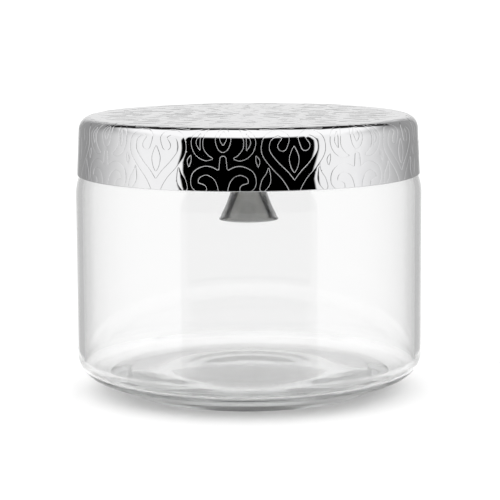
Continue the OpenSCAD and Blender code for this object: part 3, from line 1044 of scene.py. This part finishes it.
def build_rod():
    # one wire: up from the ball, out of line, and round into an eye
    path = [(0, 0, z) for z in np.linspace(72.6, 82.3, 8)]
    R, cz = 1.5, 84.95
    joinp = []
    a = np.radians(np.linspace(-48, 262, 64))
    loop = np.c_[R * np.cos(a), 0 * a, cz + R * np.sin(a)]
    p0, p1 = np.array(path[-1]), loop[0]
    d0, d1 = np.array([0, 0, 1.0]), np.array([-math.sin(a[0]), 0, math.cos(a[0])])
    for t in np.linspace(0.12, 0.9, 8):
        h00, h10 = 2 * t ** 3 - 3 * t ** 2 + 1, t ** 3 - 2 * t ** 2 + t
        h01, h11 = -2 * t ** 3 + 3 * t ** 2, t ** 3 - t ** 2
        joinp.append(tuple(h00 * p0 + h10 * d0 * 1.3 + h01 * p1 + h11 * d1 * 1.3))
    path = path + joinp + [tuple(p) for p in loop]
    rad = [0.6] * 8 + list(np.linspace(0.57, 0.46, 8)) + [0.45] * (len(loop) - 1) + [0.43]
    v, f = tube(path, rad, 20)
    ob = make_object("clapper_wire", v, f)
    return finish_piece(ob, "clapper", ["clapper_rod"], WIRE, sharp=50)


def build_ball():
    r, zc = 2.6, 73.2
    a0 = math.degrees(math.asin(0.8 / r))
    parts = [arc(0, zc, r, -90, 90 - a0, 40)]
    ztop = zc + r * math.cos(math.radians(a0))
    parts += [curve([(0.8, ztop), (0.7, ztop - 0.03), (0.62, ztop - 0.14)], 2), seg((0.62, ztop - 0.14), (0.62, 72.55), 2), seg((0.62, 72.55), (0, 72.55), 1)]
    ob = lathe("clapper_bob", parts, 72)
    return finish_piece(ob, "clapper", ["clapper_ball"], BELL)


build_jar()
build_shell()
build_liner()
build_gasket()
build_stud()
build_post()
build_washer()
build_bell()
build_eye_nut()
build_ring()
build_rod()
build_ball()


# ----------------------------------------------------------------- the studio

def build_floor():
    """A round, plain, pale table, a hair below the foot so that the two faces
    don't lie in one plane."""
    drop = -0.00006
    n, rings = 128, (0.0, 0.04, 0.08, 0.12)
    verts, faces = [(0, 0, drop)], []
    for r in rings[1:]:
        verts += [(r * math.cos(2 * math.pi * j / n), r * math.sin(2 * math.pi * j / n), drop) for j in range(n)]
    for j in range(n):
        k = (j + 1) % n
        faces.append((0, 1 + j, 1 + k))
        for i in range(len(rings) - 2):
            a, b = 1 + i * n, 1 + (i + 1) * n
            faces.append((a + j, b + j, b + k, a + k))
    me = bpy.data.meshes.new("floor")
    me.from_pydata(verts, [], faces)
    ob = bpy.data.objects.new("floor", me)
    scene.collection.objects.link(ob)
    m, g, b, out = material("floor_white")
    # painted light: the table's colour is paler around the middle, where it brightens away the jar's shadow, with a
    # faint cloud of random tone on top
    ang, rad, z = g.cylinder()
    cloud = g.noise(g.coords(), 6.0, 2.0, 0.5)
    painted_light_and_cloud = g.math("ADD", g.ramp(rad, 0.078, 0.11, 0.975, 0.85), g.ramp(cloud, 0.3, 0.7, -0.005, 0.005))
    g.put(b.inputs["Base Color"], g.colour(painted_light_and_cloud, (0, 0, 0), (1, 1, 1)))
    b.inputs["Roughness"].default_value = 1.0
    b.inputs["Specular IOR Level"].default_value = 0.0
    me.materials.append(m)
    return ob


def build_light():
    """A white tent: even white for the table, and for polished surfaces bright
    side walls, a bright ceiling and a dark gap where the camera stands."""
    w = bpy.data.worlds.new("tent")
    scene.world = w
    w.use_nodes = True
    g = Graph(w.node_tree)
    w.node_tree.nodes.clear()
    out = g.node("ShaderNodeOutputWorld")
    bg = g.node("ShaderNodeBackground")
    g.t.links.new(bg.outputs[0], out.inputs[0])
    sep = g.node("ShaderNodeSeparateXYZ")
    g.put(sep.inputs[0], g.node("ShaderNodeTexCoord").outputs["Generated"])
    x, y, z = sep.outputs
    deg = 180 / math.pi
    el = g.math("MULTIPLY", g.math("ARCSINE", z), deg)
    az = g.math("MULTIPLY", g.math("ARCTAN2", x, g.math("MULTIPLY", y, -1.0)), deg)   # 0 towards the camera
    a = g.math("ABSOLUTE", az)

    def steps(v, table):
        """A value that runs through (position, value) pairs."""
        acc = table[0][1]
        for (p0, v0), (p1, v1) in zip(table[:-1], table[1:]):
            if v0 != v1:
                acc = g.math("ADD", acc, g.ramp(v, p0, p1, 0.0, v1 - v0, "LINEAR"))
        return acc

    # dark gap, bright side walls, then a fall to a dim back with a paler middle; both sides alike
    low = steps(a, [(44, 0.0), (46, 1.3), (75, 1.3), (135, 0.4), (160, 0.4), (172, 0.9)])
    # a dark band behind the jar, well above the table
    start = g.ramp(a, 165, 180, 30, 23)
    above = g.math("SUBTRACT", el, start)
    dark_behind = g.math("MULTIPLY", g.ramp(a, 134, 146), g.math("MULTIPLY", g.ramp(above, 0, 3), g.ramp(el, 58, 65, 1.0, 0.0)))
    top = 1.45
    rise = g.mix(g.ramp(a, 50, 64), g.ramp(el, 32, 46), g.ramp(el, 30, 50))
    val = g.mix(rise, low, top)
    val = g.mix(dark_behind, val, 0.02)
    lp = g.node("ShaderNodeLightPath")
    # below the horizon, in front, the table runs on to the dark gap
    val = g.math("MAXIMUM", val, g.ramp(el, -6.5, -4.5, 0.4, 0.0))
    # light that reaches the eye through glass: the same tent, and white paper behind the jar
    side = steps(a, [(44, 0.03), (46, 0.8), (100, 0.8), (130, 0.6), (160, 0.6), (170, 1.0)])
    clear = g.mix(g.ramp(el, 40, 70), g.math("MAXIMUM", side, g.ramp(el, -6.5, -4.5, 0.4, 0.0)), 1.0)
    val = g.mix(lp.outputs["Is Transmission Ray"], val, clear)
    # light on the table and other matt surfaces comes more from the sides than from
    # above, and the part that comes through the jar is as strong as the rest
    past = g.math("MAXIMUM", lp.outputs["Is Transmission Ray"], lp.outputs["Is Glossy Ray"])
    matt = g.mix(past, g.ramp(el, 40, 65, 1.83, 0.65), g.ramp(el, 40, 65, 2.2, 1.3))
    val = g.mix(g.math("GREATER_THAN", lp.outputs["Diffuse Depth"], 0.5), val, matt)
    val = g.mix(lp.outputs["Is Camera Ray"], val, 1.13)
    bg.inputs["Color"].default_value = (1, 1, 1, 1)
    g.put(bg.inputs["Strength"], val)
    w.cycles.sampling_method = "NONE"


def build_camera():
    cam = bpy.data.cameras.new("camera")
    cam.lens = 153.95
    cam.sensor_width = 36.0
    cam.clip_start = 0.01
    cam.clip_end = 50
    cam.shift_x = 0.002
    ob = bpy.data.objects.new("camera", cam)
    scene.collection.objects.link(ob)
    pitch, roll = 0.1424, 0.0059
    rot = Matrix.Rotation(math.pi / 2 - pitch, 4, "X") @ Matrix.Rotation(-roll, 4, "Z")
    ob.matrix_world = Matrix.Translation((0, -0.8634, 0.1804)) @ rot
    scene.camera = ob
    return ob


build_floor()
build_light()
build_camera()
# light crosses thick glass by many inner reflections
scene.cycles.max_bounces = 40
scene.cycles.glossy_bounces = 40
scene.cycles.transmission_bounces = 40
scene.view_settings.view_transform = "Standard"
scene.view_settings.look = "None"
scene.view_settings.exposure = 0.0
scene.view_settings.gamma = 1.0
